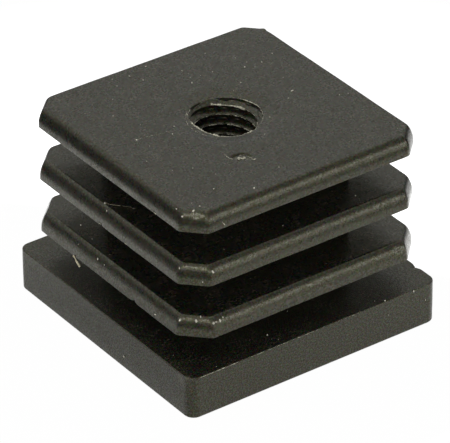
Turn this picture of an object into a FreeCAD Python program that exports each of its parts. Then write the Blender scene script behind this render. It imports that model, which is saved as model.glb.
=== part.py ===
import FreeCAD, Part
import math
import os
import Sketcher

# Square end cap for a square tube, moulded in one piece.
# The head is the square plate that closes the tube. Its outer face lies at z = 0.
# Above it a square core carries thin square ribs, which grip the inside of the tube.
# The ribs are cut from one tapering block, so the rib at the tip is the smallest.
# A threaded hole runs through head and core. Its thread isn't cut here: the bore is
# the hole that is left between the crests of the thread. At the tip the face dips
# towards the hole, in a shallow rounding that starts mouth_dip_reach from the axis.
# Origin: centre of the head's outer face. +Z runs from the head towards the tip.

# Driving dimensions, in millimetres unless the name says otherwise.
SIZES = {
    "head_width": 40.0,
    "head_thickness": 6.2,
    "head_corner_radius": 1.5,
    "head_rim_radius": 0.3,
    "head_lip_radius": 0.15,
    "core_width": 23.5,
    "core_corner_radius": 0.5,
    "root_gap": 4.3,
    "rib_gap": 5.05,
    "rib_thickness": 2.8,
    "rib_count": 3,
    "rib_step": 0.9,
    "rib_draft_degrees": 1.25,
    "rib_corner_cut": 2.5,
    "rib_top_radius": 1.2,
    "rib_under_radius": 0.1,
    "bore_diameter": 8.5,
    "lead_in": 0.9,
    "mouth_dip_reach": 8.0,
    "mouth_dip_radius": 13.0,
}

# Sizes that follow from the driving dimensions, by formulas of the same spreadsheet.
# At the head the ribs' block stands one rib_step inside the head's edge on every side.
# rib_corner_cut is how far each corner of that block is cut back towards the axis.
DERIVED_SIZES = {
    "rib_root_width": "=head_width - 2 * rib_step",
    "rib_corner_span": "=rib_root_width * sqrt(2) - 2 * rib_corner_cut",
    "rib_pitch": "=rib_thickness + rib_gap",
    "first_rib_top": "=head_thickness + root_gap + rib_thickness",
    "block_height": "=root_gap + rib_thickness + (rib_count - 1) * rib_pitch",
}

# A cut's outer outline is this many times as wide as the block that it cuts away.
CUT_OVERSIZE = 1.6

# Two lengths that differ by less than this count as equal.
TOUCH = 0.001


def make_sheet(doc):
    """The spreadsheet that holds every size under its own name."""
    sheet = doc.addObject("Spreadsheet::Sheet", "sizes")
    rows = {**SIZES, **DERIVED_SIZES}
    for row, (name, value) in enumerate(rows.items(), start=1):
        sheet.set(f"A{row}", name)
        sheet.set(f"B{row}", str(value))
        sheet.setAlias(f"B{row}", name)
    doc.recompute()


def size(name):
    """The value of a size, read from the spreadsheet."""
    return float(FreeCAD.ActiveDocument.sizes.get(name))


def origin_feature(body, role):
    """The origin plane or axis of the body that has this role."""
    return next(item for item in body.Origin.OriginFeatures if item.Role == role)


def add_sketch(body, name, height="0"):
    """A level sketch, at a height above the origin that a formula gives."""
    sketch = body.newObject("Sketcher::SketchObject", name)
    sketch.AttachmentSupport = [(origin_feature(body, "XY_Plane"), "")]
    sketch.MapMode = "FlatFace"
    sketch.setExpression("AttachmentOffset.Base.z", height)
    return sketch


def bind(sketch, name, constraint, formula):
    """Add a named constraint whose value follows a formula."""
    index = sketch.addConstraint(constraint)
    sketch.renameConstraint(index, name)
    sketch.setExpression(f"Constraints.{name}", formula)


def draw_four_sides(sketch, corners):
    """A closed outline of four lines, even about the origin. Returns its first line's index."""
    first = sketch.GeometryCount
    for index, start in enumerate(corners):
        end = corners[(index + 1) % 4]
        sketch.addGeometry(Part.LineSegment(FreeCAD.Vector(*start, 0), FreeCAD.Vector(*end, 0)))
    for index in range(4):
        follower = first + (index + 1) % 4
        sketch.addConstraint(Sketcher.Constraint("Coincident", first + index, 2, follower, 1))
    for line in (first, first + 1):
        sketch.addConstraint(Sketcher.Constraint("Symmetric", line, 1, line + 2, 1, -1, 1))
    return first


def draw_square(sketch, name, width, scale=1):
    """A square about the origin, its sides along the axes, as wide as a size times scale."""
    half = size(width) * scale / 2
    first = draw_four_sides(sketch, [(-half, -half), (half, -half), (half, half), (-half, half)])
    sketch.addConstraint(Sketcher.Constraint("Horizontal", first))
    sketch.addConstraint(Sketcher.Constraint("Vertical", first + 1))
    sketch.addConstraint(Sketcher.Constraint("Equal", first, first + 1))
    distance = Sketcher.Constraint("Distance", first, 2 * half)
    bind(sketch, name, distance, f"sizes.{width} * {scale}")


def draw_diamond(sketch, name, width):
    """A square about the origin, its corners on the axes, whose width is a size."""
    reach = size(width) / 2 ** 0.5
    first = draw_four_sides(sketch, [(-reach, 0), (0, -reach), (reach, 0), (0, reach)])
    sketch.addConstraint(Sketcher.Constraint("PointOnObject", first, 1, -1))
    sketch.addConstraint(Sketcher.Constraint("PointOnObject", first + 1, 1, -2))
    sketch.addConstraint(Sketcher.Constraint("Perpendicular", first, first + 1))
    bind(sketch, name, Sketcher.Constraint("Distance", first, size(width)), f"sizes.{width}")


def draw_circle(sketch, name, diameter):
    """A circle about the origin whose diameter is a size."""
    circle = Part.Circle(FreeCAD.Vector(0, 0, 0), FreeCAD.Vector(0, 0, 1), size(diameter) / 2)
    index = sketch.addGeometry(circle)
    sketch.addConstraint(Sketcher.Constraint("Coincident", index, 3, -1, 1))
    across = Sketcher.Constraint("Diameter", index, size(diameter))
    bind(sketch, name, across, f"sizes.{diameter}")


def add_pad(body, name, sketch, length):
    """Material from a sketch upwards."""
    pad = body.newObject("PartDesign::Pad", name)
    pad.Profile = sketch
    pad.setExpression("Length", length)
    return pad


def cut_around(body, name, kept, draw_kept, cleared, height, depth):
    """Cut away, from one height up, all that lies round the outline that is kept.

    kept names the size of that outline, and cleared the size of the block around it.
    """
    sketch = add_sketch(body, f"{name}_outline", height)
    draw_kept(sketch, "kept", kept)
    draw_square(sketch, "cleared", cleared, CUT_OVERSIZE)
    pocket = body.newObject("PartDesign::Pocket", name)
    pocket.Profile = sketch
    pocket.Reversed = True
    pocket.setExpression("Length", depth)
    return pocket


def add_head(body):
    """The head's square plate, its corners still sharp."""
    outline = add_sketch(body, "head_outline")
    draw_square(outline, "side", "head_width")
    add_pad(body, "head", outline, "sizes.head_thickness")


def add_rib_block(body):
    """The tapering block that holds core and ribs, with its four corners cut off upright."""
    outline = add_sketch(body, "block_outline", "sizes.head_thickness")
    draw_square(outline, "side", "rib_root_width")
    block = add_pad(body, "block", outline, "sizes.block_height")
    body.Document.recompute()
    draft = body.newObject("PartDesign::Draft", "rib_draft")
    draft.Base = (block, names_of(block, "Face", is_block_side))
    draft.NeutralPlane = (block, names_of(block, "Face", is_head_face))
    draft.setExpression("Angle", "sizes.rib_draft_degrees")
    body.Tip = draft
    cut_around(
        body,
        "corner_cut",
        kept="rib_corner_span",
        draw_kept=draw_diamond,
        cleared="rib_corner_span",
        height="sizes.head_thickness",
        depth="sizes.block_height",
    )


def cut_gaps(body):
    """The gap under the first rib, and the equal gaps between the ribs above it."""
    cut_around(
        body,
        "root_gap_cut",
        kept="core_width",
        draw_kept=draw_square,
        cleared="rib_root_width",
        height="sizes.head_thickness",
        depth="sizes.root_gap",
    )
    gap = cut_around(
        body,
        "rib_gap_cut",
        kept="core_width",
        draw_kept=draw_square,
        cleared="rib_root_width",
        height="sizes.first_rib_top",
        depth="sizes.rib_gap",
    )
    pattern = body.newObject("PartDesign::LinearPattern", "rib_gaps")
    pattern.Originals = [gap]
    pattern.Direction = (origin_feature(body, "Z_Axis"), [""])
    pattern.Mode = "Spacing"
    pattern.setExpression("Offset", "sizes.rib_pitch")
    pattern.setExpression("Occurrences", "sizes.rib_count - 1")
    body.Tip = pattern


def dip_mouth(body):
    """The shallow rounding in which the tip's face dips towards the hole."""
    tip = size("head_thickness") + size("block_height")
    reach = size("mouth_dip_reach")
    radius = size("mouth_dip_radius")
    profile = body.newObject("Sketcher::SketchObject", "mouth_dip_profile")
    profile.AttachmentSupport = [(origin_feature(body, "XZ_Plane"), "")]
    profile.MapMode = "FlatFace"
    centre = FreeCAD.Vector(reach, tip - radius, 0)
    circle = Part.Circle(centre, FreeCAD.Vector(0, 0, 1), radius)
    arc = Part.ArcOfCircle(circle, math.pi / 2, math.pi - math.acos(reach / radius))
    start = FreeCAD.Vector(0, tip, 0)
    level = profile.addGeometry(Part.LineSegment(start, arc.StartPoint))
    curve = profile.addGeometry(arc)
    axis = profile.addGeometry(Part.LineSegment(arc.EndPoint, start))
    for before, after in ((level, curve), (curve, axis), (axis, level)):
        profile.addConstraint(Sketcher.Constraint("Coincident", before, 2, after, 1))
    profile.addConstraint(Sketcher.Constraint("Horizontal", level))
    profile.addConstraint(Sketcher.Constraint("PointOnObject", level, 1, -2))
    profile.addConstraint(Sketcher.Constraint("Vertical", axis))
    profile.addConstraint(Sketcher.Constraint("Vertical", curve, 3, curve, 1))
    height = Sketcher.Constraint("DistanceY", -1, 1, level, 1, tip)
    bind(profile, "height", height, "sizes.head_thickness + sizes.block_height")
    bind(profile, "reach", Sketcher.Constraint("Distance", level, reach), "sizes.mouth_dip_reach")
    bend = Sketcher.Constraint("Radius", curve, radius)
    bind(profile, "bend", bend, "sizes.mouth_dip_radius")
    dip = body.newObject("PartDesign::Groove", "mouth_dip")
    dip.Profile = profile
    dip.ReferenceAxis = (profile, ["V_Axis"])
    dip.Angle = 360


def drill_bore(body):
    """The hole for the thread, right through, with a bevel at each mouth."""
    centre = add_sketch(body, "bore_outline")
    draw_circle(centre, "across", "bore_diameter")
    body.Document.recompute()
    bore = body.newObject("PartDesign::Hole", "bore")
    bore.Profile = centre
    bore.Reversed = True
    bore.DepthType = "ThroughAll"
    bore.setExpression("Diameter", "sizes.bore_diameter")
    dress(body, "PartDesign::Chamfer", "bore_mouths", "Size", "lead_in", is_bore_mouth)


def names_of(feature, kind, wanted):
    """The names of a feature's faces or edges that pass a test."""
    pieces = enumerate(getattr(feature.Shape, f"{kind}s"), start=1)
    return [f"{kind}{number}" for number, piece in pieces if wanted(piece)]


def dress(body, kind, name, measure, amount, wanted):
    """Round or bevel every edge of the body that passes a test, by a named size."""
    body.Document.recompute()
    base = body.Tip
    feature = body.newObject(kind, name)
    feature.Base = (base, names_of(base, "Edge", wanted))
    feature.setExpression(measure, f"sizes.{amount}")
    body.Tip = feature


def equal(first, second):
    """Whether two lengths are the same."""
    return abs(first - second) < TOUCH


def is_at(shape, heights):
    """Whether an edge or a face lies level at one of these heights."""
    corners = [vertex.Z for vertex in shape.Vertexes]
    return any(all(equal(corner, height) for corner in corners) for height in heights)


def is_upright(edge):
    """Whether an edge runs straight up."""
    box = edge.BoundBox
    return box.XLength < TOUCH and box.YLength < TOUCH


def is_head_face(face):
    """The head's inner face, round the foot of the block."""
    is_level = is_at(face, [size("head_thickness")])
    return is_level and equal(face.BoundBox.XLength, size("head_width"))


def is_block_side(face):
    """An upright side of the block."""
    is_above_head = face.BoundBox.ZMin > size("head_thickness") - TOUCH
    return is_above_head and not equal(face.BoundBox.ZLength, 0)


def half_width(edge):
    """How far out an edge's innermost end lies, along X or Y."""
    return min(max(abs(vertex.X), abs(vertex.Y)) for vertex in edge.Vertexes)


def rib_undersides():
    """The height of each rib's underside."""
    first = size("head_thickness") + size("root_gap")
    return [first + index * size("rib_pitch") for index in range(SIZES["rib_count"])]


def rib_tops():
    """The height of each rib's top face."""
    return [height + size("rib_thickness") for height in rib_undersides()]


def is_bore_mouth(edge):
    """A round edge at either end of the bore."""
    box = edge.BoundBox
    return equal(box.XLength, size("bore_diameter")) and equal(box.ZLength, 0)


def is_head_corner(edge):
    """An upright edge at a corner of the head."""
    return is_upright(edge) and equal(half_width(edge), size("head_width") / 2)


def is_head_rim(edge):
    """An edge round the head's outer face."""
    return is_at(edge, [0]) and half_width(edge) > size("core_width") / 2


def is_head_lip(edge):
    """An edge round the head's inner face."""
    is_level = is_at(edge, [size("head_thickness")])
    return is_level and half_width(edge) > size("rib_root_width") / 2


def is_core_corner(edge):
    """An upright edge at a corner of the core, in a gap."""
    return is_upright(edge) and equal(half_width(edge), size("core_width") / 2)


def is_rib_top(edge):
    """An edge round a rib's top face."""
    return is_at(edge, rib_tops()) and half_width(edge) > size("core_width") / 2 + TOUCH


def is_rib_under(edge):
    """An edge round a rib's underside."""
    return is_at(edge, rib_undersides()) and half_width(edge) > size("core_width") / 2 + TOUCH


def round_edges(body):
    """The moulded radii: head first, then the core's corners, then the ribs."""
    fillet = "PartDesign::Fillet"
    dress(body, fillet, "head_corners", "Radius", "head_corner_radius", is_head_corner)
    dress(body, fillet, "head_rim", "Radius", "head_rim_radius", is_head_rim)
    dress(body, fillet, "head_lip", "Radius", "head_lip_radius", is_head_lip)
    dress(body, fillet, "core_corners", "Radius", "core_corner_radius", is_core_corner)
    dress(body, fillet, "rib_tops", "Radius", "rib_top_radius", is_rib_top)
    dress(body, fillet, "rib_undersides", "Radius", "rib_under_radius", is_rib_under)


def check(doc, body):
    """Stop if a feature failed, a cut took nothing away or the solid isn't whole."""
    for item in doc.Objects:
        if {"Invalid", "Error"} & set(item.State):
            raise RuntimeError(f"{item.Name} failed: {item.getStatusString()}")
    for item in body.Group:
        is_cut = any(item.isDerivedFrom(f"PartDesign::{kind}") for kind in ("Pocket", "Groove", "Hole"))
        if is_cut and item.BaseFeature.Shape.Volume - item.Shape.Volume < TOUCH:
            raise RuntimeError(f"{item.Name} cuts nothing")
    shape = body.Shape
    if shape.isNull() or not shape.isValid() or len(shape.Solids) != 1:
        raise RuntimeError(f"{body.Label} isn't one valid solid")


def main():
    """Build the cap, check it and write its solid."""
    doc = FreeCAD.newDocument("end_cap")
    make_sheet(doc)
    body = doc.addObject("PartDesign::Body", "tube_end_cap")
    body.Label = "tube_end_cap"
    body.Placement = FreeCAD.Placement()
    add_head(body)
    add_rib_block(body)
    cut_gaps(body)
    dip_mouth(body)
    drill_bore(body)
    round_edges(body)
    doc.recompute()
    check(doc, body)
    os.makedirs("parts", exist_ok=True)
    body.Shape.exportStep(f"parts/{body.Label}.step")
    box = body.Shape.BoundBox
    across = f"{box.XLength:.2f} x {box.YLength:.2f} x {box.ZLength:.2f} mm"
    print(f"{body.Label}: {across}, {body.Shape.Volume / 1000:.2f} cm3, {len(body.Shape.Faces)} faces")


main()
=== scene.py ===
"""Dresses the solid of a moulded square tube end cap and sets it in a plain studio."""

import math

import bmesh
import bpy
import numpy as np
from bpy.props import FloatProperty, FloatVectorProperty, IntProperty, PointerProperty
from mathutils import Matrix, Vector, noise
from mathutils.bvhtree import BVHTree


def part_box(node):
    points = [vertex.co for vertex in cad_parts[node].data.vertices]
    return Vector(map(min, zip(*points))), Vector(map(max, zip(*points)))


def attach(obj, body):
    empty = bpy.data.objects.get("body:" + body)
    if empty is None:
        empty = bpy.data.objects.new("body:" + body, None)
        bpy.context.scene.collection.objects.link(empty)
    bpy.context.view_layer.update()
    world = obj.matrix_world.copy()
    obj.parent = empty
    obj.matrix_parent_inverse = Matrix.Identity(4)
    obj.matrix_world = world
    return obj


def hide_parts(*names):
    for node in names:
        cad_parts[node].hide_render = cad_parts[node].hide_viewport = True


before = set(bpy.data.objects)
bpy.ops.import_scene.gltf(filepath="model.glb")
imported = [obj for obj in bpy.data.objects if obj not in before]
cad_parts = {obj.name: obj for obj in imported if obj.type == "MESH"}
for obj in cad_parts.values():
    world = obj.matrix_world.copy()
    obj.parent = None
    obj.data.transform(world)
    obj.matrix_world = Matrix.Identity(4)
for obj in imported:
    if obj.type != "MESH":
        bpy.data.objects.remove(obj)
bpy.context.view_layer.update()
CAP_NODE = "tube_end_cap"
CAP_LOW, CAP_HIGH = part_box(CAP_NODE)

bl_info = {
    "name": "Tube end cap",
    "version": (1, 0, 0),
    "blender": (4, 5, 0),
    "location": "View3D > Sidebar > End cap",
    "description": "Builds a ribbed square tube end cap with its thread, dust and studio",
    "category": "Add Mesh",
}

# Lengths below are in millimetres where their name ends in _MM, and in metres elsewhere.
MM = 0.001

# Each ring of the cap's skin has four sides and four corners, with this many points.
SIDE_POINTS = 80
ARC_POINTS = 3
CHAMFER_POINTS = 8
CORNER_POINTS = CHAMFER_POINTS + 2 * ARC_POINTS
RING_POINTS = 4 * (SIDE_POINTS + CORNER_POINTS)

# The thread's wall has one point round the hole for every four of the skin.
RING_SHARE = 4
THREAD_STEPS = RING_POINTS // RING_SHARE


def length(name, description, millimetres):
    """A length of the cap that a user may change."""
    return FloatProperty(
        name=name,
        description=description,
        default=millimetres * MM,
        unit="LENGTH",
        subtype="DISTANCE",
        precision=5,
    )


def colour(name, description, value):
    """A colour that a user may change, as linear red, green and blue."""
    return FloatVectorProperty(
        name=name, description=description, default=value, subtype="COLOR", size=3, min=0, max=1
    )


def share(name, description, value):
    """A plain number that a user may change."""
    return FloatProperty(name=name, description=description, default=value, min=0, max=1)


def tilt(name, description, degrees):
    """An angle that a user may change."""
    angle = math.radians(degrees)
    return FloatProperty(name=name, description=description, default=angle, subtype="ANGLE")


class EndCapShape(bpy.types.PropertyGroup):
    """Sizes of the moulding."""

    head_width: length("Head width", "Side of the square head", (CAP_HIGH.x - CAP_LOW.x) / MM)
    total_height: length("Height", "From the head's face to the tip", CAP_HIGH.z / MM)
    head_thickness: length("Head thickness", "How thick the head is", 6.2)
    head_corner: length("Head corner", "Radius of the head's upright corners", 1.5)
    head_rim: length("Head rim", "Radius round the head's outer face", 0.3)
    head_lip: length("Head lip", "Radius round the head's inner face", 0.15)
    core_width: length("Core width", "Side of the square core", 23.5)
    core_corner: length("Core corner", "Radius of the core's upright corners", 0.5)
    root_gap: length("Root gap", "Gap between head and first rib", 4.3)
    rib_gap: length("Rib gap", "Gap between two ribs", 5.05)
    rib_thickness: length("Rib thickness", "How thick each rib is", 2.8)
    rib_count: IntProperty(name="Ribs", description="How many ribs", default=3, min=1, max=8)
    rib_step: length("Rib step", "How far the ribs start inside the head's edge", 0.9)
    rib_draft: tilt("Rib draft", "How far the ribs' sides lean in towards the tip", 1.25)
    corner_cut: length("Corner cut", "How far each corner of the ribs is cut back", 2.5)
    rib_top: length("Rib top edge", "How far in each rib's upper edge is rounded", 1.1)
    rib_top_drop: length("Rib top drop", "How far down each rib's upper edge is rounded", 1.5)
    rib_under: length("Rib lower edge", "Radius of each rib's lower edge", 0.05)
    rib_crease: length("Rib crease", "Radius of the ribs' upright creases", 0.9)
    rib_crown: length("Rib crown", "How far the ribs' sides bulge", 0.115)
    dip_reach: length("Dip reach", "Where the dip round the hole starts", 8.0)
    dip_radius: length("Dip radius", "Rounding in which the face dips to the hole", 13.0)


class EndCapThread(bpy.types.PropertyGroup):
    """Sizes of the thread in the hole."""

    crest: length("Crest radius", "Radius of the hole between the crests", 4.25)
    groove: length("Groove depth", "How deep the thread is", 0.78)
    pitch: length("Pitch", "From one crest to the next", 1.5)
    lead_in: length("Lead-in", "Width of the bevel at each mouth", 0.9)
    start: share("Start", "Where on its turn the thread begins", 0.363)
    rag: length("Rag", "How far the crests are torn", 0.09)
    rows: IntProperty(name="Rows", description="Rows of faces on one pitch", default=18, min=6)


class EndCapPlastic(bpy.types.PropertyGroup):
    """Colours and gloss of the plastic, and of what lies on it."""

    base: colour("Plastic", "Colour of the black plastic", (0.0084, 0.0079, 0.0049))
    torn: colour("Torn plastic", "Paler colour where the plastic is torn", (0.14, 0.135, 0.105))
    dust: colour("Dust", "Colour of the dust", (0.72, 0.69, 0.58))
    thread: colour("Fibre", "Colour of the loose fibre", (0.80, 0.72, 0.50))
    gloss: share("Rib roughness", "Roughness of the ribs", 0.25)
    matt: share("Head roughness", "Roughness of the head's texture", 0.35)


class EndCapWear(bpy.types.PropertyGroup):
    """Sizes of torn edges, dust and fibres."""

    fray: length("Fray", "Width of the torn plastic round the hole", 0.085)
    crest_fray: length("Crest fray", "Width of the torn plastic on the thread's crests", 0.075)
    wander: length("Wander", "How far torn edges stray from their line", 0.16)
    fleck: length("Fleck", "Radius of a middling dust fleck", 0.11)
    smallest: length("Smallest dust", "Radius of the smallest scattered dust", 0.022)
    largest: length("Largest dust", "Radius of the largest scattered dust", 0.07)
    density: FloatProperty(
        name="Dust density", description="Scattered dust per square metre", default=42000.0, min=0
    )
    fibre: length("Fibre width", "Radius of the loose fibres", 0.06)
    seed: IntProperty(name="Seed", description="Seed of the scattered dust", default=7)


class EndCapStage(bpy.types.PropertyGroup):
    """Camera, floor and light."""

    azimuth: tilt("Azimuth", "Camera's turn round the cap", -35.45)
    elevation: tilt("Elevation", "Camera's height over the horizon", 32.021)
    roll: tilt("Roll", "Camera's turn round its own view", -0.496)
    distance: length("Distance", "From the camera to the cap", 553.574)
    lens: FloatProperty(name="Lens", description="Focal length in millimetres", default=335.322)
    aim_right: length("Aim right", "How far right of the cap's middle the view's centre lies", -0.096)
    aim_up: length("Aim up", "How far above the cap's middle the view's centre lies", -1.066)
    aim_height: length("Aim height", "Height of the cap's middle", 14.0)
    floor: colour("Floor", "Colour of the floor", (0.82, 0.82, 0.82))
    glow: share("Paper white", "How far the camera sees the floor as plain white paper", 0.985)
    mirrored_glow: share("Mirrored white", "How far reflections see the floor as white paper", 1.0)
    floor_radius: length("Floor radius", "How far the floor reaches", 150.0)


def settings():
    """The scene's own sizes and colours."""
    scene = bpy.context.scene
    return tuple(getattr(scene, name) for name in GROUPS)


class Value:
    """A node's output, on which Python's operators add Math nodes."""

    def __init__(self, tree, socket):
        self.tree = tree
        self.socket = socket

    def math(self, operation, *others):
        return self.tree.node("ShaderNodeMath", dict(enumerate([self, *others])), operation=operation)

    def flipped(self, operation, other):
        return self.tree.node("ShaderNodeMath", {0: other, 1: self}, operation=operation)

    def output(self, name):
        return Value(self.tree, self.socket.node.outputs[name])

    def clamped(self):
        """The value, held between 0 and 1."""
        return self.tree.node("ShaderNodeMath", {0: self, 1: 0.0}, operation="ADD", use_clamp=True)

    def __add__(self, other):
        return self.math("ADD", other)

    def __sub__(self, other):
        return self.math("SUBTRACT", other)

    def __mul__(self, other):
        return self.math("MULTIPLY", other)

    def __truediv__(self, other):
        return self.math("DIVIDE", other)

    def __radd__(self, other):
        return self.flipped("ADD", other)

    def __rsub__(self, other):
        return self.flipped("SUBTRACT", other)

    def __rmul__(self, other):
        return self.flipped("MULTIPLY", other)


class Tree:
    """A node tree that is built by calls."""

    def __init__(self, data):
        self.data = data

    def node(self, kind, inputs=None, output=0, **options):
        """A new node, with its options set before its inputs. Returns one of its outputs."""
        made = self.data.nodes.new(kind)
        for name, value in options.items():
            setattr(made, name, value)
        for key, value in (inputs or {}).items():
            if isinstance(value, Value):
                self.data.links.new(value.socket, made.inputs[key])
            else:
                made.inputs[key].default_value = value
        return Value(self, made.outputs[output]) if len(made.outputs) else None

    def noise(self, where, scale, detail=2.0, roughness=0.5, output="Fac"):
        inputs = {"Vector": where, "Scale": scale, "Detail": detail, "Roughness": roughness}
        return self.node("ShaderNodeTexNoise", inputs, output)

    def between(self, value, low, high):
        """0 below low, 1 above high, and smooth between them."""
        inputs = {"Value": value, "From Min": low, "From Max": high}
        return self.node("ShaderNodeMapRange", inputs, interpolation_type="SMOOTHSTEP")

    def blend(self, factor, first, second):
        """One colour to another."""
        return self.node("ShaderNodeMix", {0: factor, 6: first, 7: second}, 2, data_type="RGBA")

    def vector(self, operation, *values, output="Vector"):
        """Vector maths on one or two vectors."""
        return self.node("ShaderNodeVectorMath", dict(enumerate(values)), output, operation=operation)

    def scaled(self, vector, scale):
        """A vector made longer or shorter."""
        return self.node("ShaderNodeVectorMath", {0: vector, "Scale": scale}, operation="SCALE")

    def along(self, vector, way):
        """How far a vector reaches in one direction."""
        return self.vector("DOT_PRODUCT", vector, way, output="Value")

    def part(self, vector, axis):
        """One component of a vector."""
        return self.node("ShaderNodeSeparateXYZ", {0: vector}, axis)


# What noise in colour varies round.
MIDDLE_GREY = (0.5, 0.5, 0.5)


def rgba(value):
    """A colour with full opacity."""
    return (*value, 1.0)


def dimmed(value, factor):
    """A colour made darker or paler."""
    return tuple(min(1.0, channel * factor) for channel in value)


def new_material(name):
    """An empty material and its tree."""
    material = bpy.data.materials.new(name)
    material.use_nodes = True
    material.node_tree.nodes.clear()
    return material, Tree(material.node_tree)


def close_material(tree, shader):
    """Link a shader to the material's output."""
    tree.node("ShaderNodeOutputMaterial", {"Surface": shader})


def millimetres(tree):
    """The place on the piece, in millimetres."""
    return tree.scaled(tree.node("ShaderNodeTexCoord", output="Object"), 1 / MM)


def plastic_material(plastic, shape):
    """Black plastic: satin ribs, a spark texture on the head, paler where it is torn and where glints
    and a highlight are painted, with a painted warm tint in its reflections.
    """
    material, tree = new_material("moulded plastic")
    place = millimetres(tree)
    upward = tree.part(tree.node("ShaderNodeNewGeometry", output="Normal"), "Z")
    level = tree.between(upward, 0.9, 0.99)
    head = shape.head_thickness / MM
    on_head = 1 - tree.between(tree.part(place, "Z"), head, head + 0.3)
    head_top = on_head * level
    worn = tree.node("ShaderNodeAttribute", output="Fac", attribute_name="wear")

    cloud = tree.noise(place, 0.35, 3.0, 0.55)
    mottle = tree.noise(place, 1.6, 4.0, 0.65)
    speck = tree.noise(place, 7.0, 2.0, 0.6)
    tint = (cloud - 0.5) * 0.5 + (mottle - 0.5) * 0.5 + (speck - 0.5) * 0.5
    deep, pale = dimmed(plastic.base, 0.55), dimmed(plastic.base, 1.7)
    even = tree.blend((tint + 0.45).clamped(), rgba(deep), rgba(pale))
    coloured = tree.noise(place, 3.2, 3.0, 0.75, "Color")
    speckle = tree.scaled(tree.vector("SUBTRACT", coloured, MIDDLE_GREY), 0.13)
    grit = tree.noise(place, 4.2, 3.0, 0.8)
    mixed = tree.vector("ADD", tree.vector("ADD", even, (grit - 0.5) * 0.05), speckle)
    skin = tree.vector("MAXIMUM", mixed, (0.001, 0.001, 0.001))
    haze_grain = tree.between(tree.noise(place, 3.2, 5.0, 0.7), 0.52, 0.72)
    haze = haze_grain * tree.between(cloud, 0.42, 0.62) * level * 0.10
    dusty = tree.blend(haze, skin, rgba(plastic.dust))
    # The paler colour where the wear attribute is set: torn and scuffed plastic, and the painted glints
    # and painted highlight of the skin's pale flaws.
    final = tree.blend(worn.math("MINIMUM", 1.0), dusty, rgba(plastic.torn))

    rub = tree.between(tree.noise(place, 0.8, 4.0, 0.6), 0.35, 0.7)
    gloss = plastic.gloss + rub * 0.1 + on_head * (plastic.matt - plastic.gloss) + worn * 0.15

    spark = tree.noise(place, 5.5, 3.0, 0.65)
    grain = tree.noise(place, 3.0, 3.0, 0.6)
    swell = tree.noise(place, 0.22, 2.0, 0.5)
    relief = spark * (0.014 + head_top * 0.03) + grain * (0.010 + head_top * 0.02) + swell * 0.09
    inputs = {
        "Base Color": final,
        "Roughness": gloss,
        "Normal": tree.node("ShaderNodeBump", {"Height": relief * MM, "Distance": 1.0}),
        "IOR": 1.46,
        # The specular tint is a painted warm colour in the reflections, standing in for warm light.
        "Specular Tint": (1.0, 0.965, 0.54, 1.0),
        "Coat Weight": tree.between(grit, 0.40, 0.62) * 0.86,
        "Coat Roughness": 0.23,
    }
    close_material(tree, tree.node("ShaderNodeBsdfPrincipled", inputs))
    return material


def grain_material(name, first, second, scale, rough):
    """Small loose matter, mottled between two colours."""
    material, tree = new_material(name)
    place = millimetres(tree)
    mix = tree.between(tree.noise(place, scale, 2.0, 0.6), 0.35, 0.65)
    skin = tree.blend(mix, rgba(first), rgba(second))
    relief = tree.noise(place, scale * 4, 2.0, 0.6) * (0.02 * MM)
    bumped = tree.node("ShaderNodeBump", {"Height": relief, "Distance": 1.0})
    inputs = {"Base Color": skin, "Roughness": 0.5 * rough + mix * (0.5 * rough), "Normal": bumped}
    close_material(tree, tree.node("ShaderNodeBsdfPrincipled", inputs))
    return material


def geometry_tree(name, floats, others=None):
    """A Geometry Nodes tree with these inputs: plain numbers, and others by their kind."""
    data = bpy.data.node_groups.new(name, "GeometryNodeTree")
    data.interface.new_socket("Geometry", in_out="INPUT", socket_type="NodeSocketGeometry")
    data.interface.new_socket("Geometry", in_out="OUTPUT", socket_type="NodeSocketGeometry")
    for label, kind in {**dict.fromkeys(floats, "Float"), **(others or {})}.items():
        data.interface.new_socket(label, in_out="INPUT", socket_type=f"NodeSocket{kind}")
    tree = Tree(data)
    return tree, tree.node("NodeGroupInput")


def close_geometry(tree, geometry, material):
    """End a tree in plain mesh with one material."""
    real = tree.node("GeometryNodeRealizeInstances", {0: geometry})
    coated = tree.node("GeometryNodeSetMaterial", {"Geometry": real, "Material": material})
    tree.node("NodeGroupOutput", {0: coated})


def new_piece(name, data):
    """An object at the origin for a finished mesh, a lamp or a camera."""
    piece = bpy.data.objects.new(name, data)
    bpy.context.scene.collection.objects.link(piece)
    return piece


def grow(tree, name, values, start=None):
    """Run a tree on a start mesh and keep the result as a plain mesh object."""
    base = new_piece(name, start or bpy.data.meshes.new(name))
    modifier = base.modifiers.new(name, "NODES")
    modifier.node_group = tree.data
    for item in tree.data.interface.items_tree:
        if item.in_out == "INPUT" and item.name in values:
            modifier[item.identifier] = values[item.name]
    graph = bpy.context.evaluated_depsgraph_get()
    evaluated = base.evaluated_get(graph)
    mesh = bpy.data.meshes.new_from_object(evaluated, preserve_all_data_layers=True, depsgraph=graph)
    base.modifiers.remove(modifier)
    base.data = mesh
    if not len(mesh.polygons):
        raise RuntimeError(f"{name} came out empty")
    return base


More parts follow.
